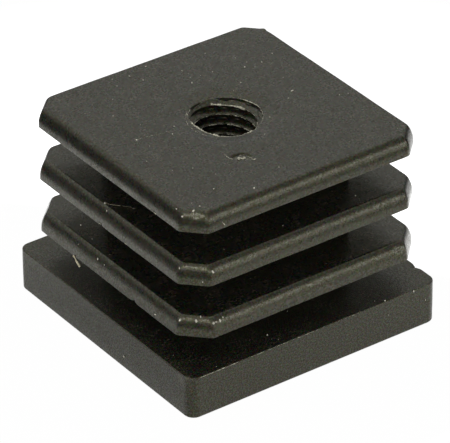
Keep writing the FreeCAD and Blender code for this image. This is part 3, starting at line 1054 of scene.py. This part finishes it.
def fleck_tree(material):
    """Chips of dust and pale chips painted as glints: one on each given point, and many of dust
    scattered on the skin.
    """
    floats = ("Density", "Smallest", "Largest", "Fleck")
    tree, given = geometry_tree("dust", floats, {"Placed": "Object", "Seed": "Int"})
    seed = given.output("Seed")
    inputs = {"Mesh": given, "Density": fallen(tree) * given.output("Density"), "Seed": seed}
    scatter = tree.node("GeometryNodeDistributePointsOnFaces", inputs)
    luck = tree.node("FunctionNodeRandomValue", {2: 0.0, 3: 1.0, 8: seed}, 1, data_type="FLOAT")
    span = given.output("Largest") - given.output("Smallest")
    size = given.output("Smallest") + luck.math("POWER", 3.0) * span
    placed = tree.node("GeometryNodeObjectInfo", {"Object": given.output("Placed")}, "Geometry")
    stated = tree.node("GeometryNodeInputNamedAttribute", {"Name": "share"}, data_type="FLOAT")
    both = tree.node("GeometryNodeJoinGeometry")
    for points, width in ((scatter, size), (placed, stated * given.output("Fleck"))):
        chip = tree.node("GeometryNodeMeshIcoSphere", {"Radius": 1.0, "Subdivisions": 1}, "Mesh")
        turn = random_vector(tree, (0, 0, 0), (6.28, 6.28, 6.28), 3)
        form = random_vector(tree, (0.6, 0.5, 0.35), (1.7, 1.1, 0.9), 5)
        size = tree.scaled(form, width)
        inputs = {"Points": points, "Instance": chip, "Rotation": turn, "Scale": size}
        chips = tree.node("GeometryNodeInstanceOnPoints", inputs)
        tree.data.links.new(chips.socket, both.socket.node.inputs[0])
    close_geometry(tree, both, material)
    return tree


def random_vector(tree, low, high, seed):
    """A vector that differs from point to point."""
    return tree.node("FunctionNodeRandomValue", {0: low, 1: high, 8: seed}, data_type="FLOAT_VECTOR")


def fallen(tree):
    """How much dust lies on each part of the skin: most on what faces up."""
    up = tree.part(tree.node("GeometryNodeInputNormal"), "Z")
    return tree.between(up, 0.3, 0.9) * 0.85 + tree.between(up, -0.4, 0.2) * 0.15


class EndCapDust(bpy.types.Operator):
    """Lay dust flecks, and pale flecks painted as glints at the ribs' front corners, on the moulding"""

    bl_idname = "end_cap.dust"
    bl_label = "Dust"

    def execute(self, context):
        plastic, wear = settings()[2:4]
        skin = skin_tree()
        mesh = bpy.data.meshes.new("flecks")
        spots = [on_skin(skin, [place], 0.35 * size * wear.fleck)[0] for *place, size in DUST_AND_GLINT_FLECKS]
        mesh.from_pydata([tuple(spot) for spot in spots], [], [])
        shares = [size for *_, size in DUST_AND_GLINT_FLECKS]
        mesh.attributes.new("share", "FLOAT", "POINT").data.foreach_set("value", shares)
        placed = new_piece("placed_flecks", mesh)
        # The placed flecks at the ribs' front corners take the dust's colour as painted glints.
        dust = grain_material("dust", plastic.dust, dimmed(plastic.dust, 0.55), 6.0, 0.95)
        values = {
            "Placed": placed,
            "Density": wear.density,
            "Smallest": wear.smallest,
            "Largest": wear.largest,
            "Fleck": wear.fleck,
            "Seed": wear.seed,
        }
        base = bpy.data.objects["moulded_cap"].data.copy()
        flecks = grow(fleck_tree(dust), "dust_flecks", values, base)
        bpy.data.objects.remove(placed)
        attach(flecks, "root")
        return {"FINISHED"}


class EndCapFibres(bpy.types.Operator):
    """Lay loose fibres on the moulding"""

    bl_idname = "end_cap.fibres"
    bl_label = "Fibres"

    def execute(self, context):
        plastic, wear = settings()[2:4]
        skin = grain_material("fibre", plastic.thread, dimmed(plastic.thread, 0.75), 8.0, 0.9)
        for number, (places, width) in enumerate(FIBRES, start=1):
            line = [Vector(place) * MM for place in places]
            width *= wear.fibre
            fibre = frayed(f"fibre_{number}", [line], skin, width, 0.05 * MM, 700.0, 0.7)
            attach(fibre, "root")
        return {"FINISHED"}


class EndCapStageSet(bpy.types.Operator):
    """Set floor, light and camera"""

    bl_idname = "end_cap.stage"
    bl_label = "Studio"

    def execute(self, context):
        stage = settings()[-1]
        lay_floor(stage)
        light_studio()
        place_camera(stage)
        view = context.scene.view_settings
        view.view_transform = "Standard"
        return {"FINISHED"}


# The floor's corners, and how far it lies below the cap, so that the two share no plane.
FLOOR_CORNERS = 64
FLOOR_GAP_MM = 0.02


def lay_floor(stage):
    """A pale round floor that the camera and reflections see as white paper.

    For reflections its glow carries painted light and shade: a painted shadow close to the cap and
    under its left side, painted shade far out and at the far left, and a painted pool of light in a
    strip behind the cap on the right.
    """
    material, tree = new_material("white paper floor")
    place = millimetres(tree)
    paper = tree.between(tree.noise(place, 0.5, 3.0, 0.5), 0.3, 0.7)
    skin = tree.blend(paper, rgba(dimmed(stage.floor, 0.98)), rgba(stage.floor))
    matt = tree.node("ShaderNodeBsdfPrincipled", {"Base Color": skin, "Roughness": 0.9})
    rays = tree.node("ShaderNodeLightPath", output="Is Camera Ray")
    mirrored = rays.output("Is Glossy Ray").math("MAXIMUM", rays.output("Is Transmission Ray"))
    away = tree.vector("LENGTH", place, output="Value")
    near = tree.between(away, 22.0, 55.0)
    painted_shadow_left = tree.between(tree.part(place, "X") * -1.0, 18.0, 23.0) * (1 - near)
    left_end = tree.between(tree.along(place, (-0.58, 0.81, 0.0)), 66.0, 102.0)
    far = tree.between(away, 60.0, stage.floor_radius / MM)
    behind = tree.along(place, (0.82, 0.57, 0.0))
    lit = tree.between(behind, 13.0, 20.0) * (1 - tree.between(behind, 36.0, 48.0))
    # Painted shade and light on the floor's glow as reflections see it: the cap's shadow close to it
    # and under its left side, shade far out and at the far left, and light in a strip behind it on the
    # right.
    level = (0.97 + near * 0.45 - painted_shadow_left * 0.32) * (1 - far * 0.5) * (1 - left_end * 0.85)
    seen_white = level * (0.8 + lit * 0.6) * stage.mirrored_glow
    strength = rays.math("MAXIMUM", seen_white)
    white = tree.node("ShaderNodeEmission", {"Color": (1, 1, 1, 1), "Strength": strength})
    glow = (rays * stage.glow).math("MAXIMUM", mirrored)
    shown = tree.node("ShaderNodeMixShader", {0: glow, 1: matt, 2: white})
    close_material(tree, shown)
    edge = arc_points((0, 0), stage.floor_radius, np.linspace(0, 360, FLOOR_CORNERS + 1)[:-1])
    corners = [(x, y, -FLOOR_GAP_MM * MM) for x, y in edge.tolist()]
    mesh = bpy.data.meshes.new("floor")
    mesh.from_pydata(corners, [], [tuple(range(FLOOR_CORNERS))])
    mesh.materials.append(material)
    new_piece("floor", mesh)


# Soft boxes: name, direction from the cap, distance, width and height in metres, and watts. All
# face one point of the cap.
LAMPS = (
    ("strip box", (0.52, -0.84, 0.095), 0.6, (0.5, 0.10), 0.56),
    ("corner box", (-0.28, -0.96, 0.30), 0.65, (0.5, 0.1), 0.45),
    ("camera side box", (-0.73, -0.50, 0.45), 0.75, (0.28, 0.14), 0.75),
)
LAMPS_AIM = Vector((0, 0, 0.014))


def light_studio():
    """A soft pale room and its lamps."""
    world = bpy.data.worlds.new("studio")
    bpy.context.scene.world = world
    world.use_nodes = True
    world.node_tree.nodes.clear()
    tree = Tree(world.node_tree)
    way = tree.node("ShaderNodeTexCoord", output="Generated")
    up = tree.part(way, "Z")
    wall = tree.between(up, 0.0, 0.42)
    ceiling = tree.between(up, 0.55, 0.95)
    dim = tree.between(tree.along(way, Vector((0.52, -0.58, 0.62)).normalized()), 0.80, 0.98)
    left_wall = tree.between(tree.along(way, Vector((-0.35, 0.75, 0.55)).normalized()), 0.70, 0.98)
    room = 0.07 + wall * 0.54 + ceiling * 0.40 + left_wall * 0.20 - dim * 0.24
    rays = tree.node("ShaderNodeLightPath", output="Is Camera Ray")
    level = room * (1 - rays) + rays
    sky = tree.node("ShaderNodeBackground", {"Color": (1, 1, 1, 1), "Strength": level})
    tree.node("ShaderNodeOutputWorld", {"Surface": sky})
    for lamp in LAMPS:
        add_lamp(*lamp)


def add_lamp(name, way, distance, size, watts):
    """A soft box that faces the cap from one direction."""
    data = bpy.data.lights.new(name, "AREA")
    data.shape = "RECTANGLE"
    data.size, data.size_y = size
    data.energy = watts
    lamp = new_piece(name, data)
    direction = Vector(way).normalized()
    lamp.location = LAMPS_AIM + direction * distance
    lamp.rotation_mode = "QUATERNION"
    lamp.rotation_quaternion = direction.to_track_quat("Z", "Y")


def place_camera(stage):
    """The camera at the photograph's viewing angle."""
    azimuth, elevation, roll = stage.azimuth, stage.elevation, stage.roll
    level = math.cos(elevation)
    back = Vector((math.sin(azimuth) * level, -math.cos(azimuth) * level, math.sin(elevation)))
    right = Vector((math.cos(azimuth), math.sin(azimuth), 0))
    up = back.cross(right)
    turned_right = right * math.cos(roll) + up * math.sin(roll)
    turned_up = up * math.cos(roll) - right * math.sin(roll)
    data = bpy.data.cameras.new("camera")
    data.sensor_width = 36.0
    data.lens = stage.lens
    data.clip_start, data.clip_end = 0.01, 10.0
    camera = new_piece("camera", data)
    aim = Vector((0, 0, stage.aim_height)) + turned_right * stage.aim_right + turned_up * stage.aim_up
    axes = Matrix((turned_right, turned_up, back)).transposed().to_4x4()
    camera.matrix_world = Matrix.Translation(aim + back * stage.distance) @ axes
    bpy.context.scene.camera = camera


class EndCapPanel(bpy.types.Panel):
    """Sizes, colours and builders of the tube end cap"""

    bl_idname = "VIEW3D_PT_end_cap"
    bl_label = "Tube end cap"
    bl_space_type = "VIEW_3D"
    bl_region_type = "UI"
    bl_category = "End cap"

    def draw(self, context):
        for group in settings():
            box = self.layout.box()
            for name in group.bl_rna.properties.keys():
                if name not in {"rna_type", "name"}:
                    box.prop(group, name)
        for operator in BUILDERS:
            self.layout.operator(operator.bl_idname)


GROUPS = {
    "end_cap_shape": EndCapShape,
    "end_cap_thread": EndCapThread,
    "end_cap_plastic": EndCapPlastic,
    "end_cap_wear": EndCapWear,
    "end_cap_stage": EndCapStage,
}
BUILDERS = (EndCapBody, EndCapFray, EndCapDust, EndCapFibres, EndCapStageSet)


def register():
    """Add the classes and the scene's properties."""
    for name, group in GROUPS.items():
        bpy.utils.register_class(group)
        setattr(bpy.types.Scene, name, PointerProperty(type=group))
    for builder in BUILDERS:
        bpy.utils.register_class(builder)
    bpy.utils.register_class(EndCapPanel)


def unregister():
    """Take the classes and the scene's properties away again."""
    bpy.utils.unregister_class(EndCapPanel)
    for builder in reversed(BUILDERS):
        bpy.utils.unregister_class(builder)
    for name, group in reversed(GROUPS.items()):
        delattr(bpy.types.Scene, name)
        bpy.utils.unregister_class(group)


def main():
    """Build every piece and the studio."""
    register()
    bpy.ops.end_cap.body()
    bpy.ops.end_cap.fray()
    bpy.ops.end_cap.dust()
    bpy.ops.end_cap.fibres()
    bpy.ops.end_cap.stage()


if __name__ == "__main__":
    main()
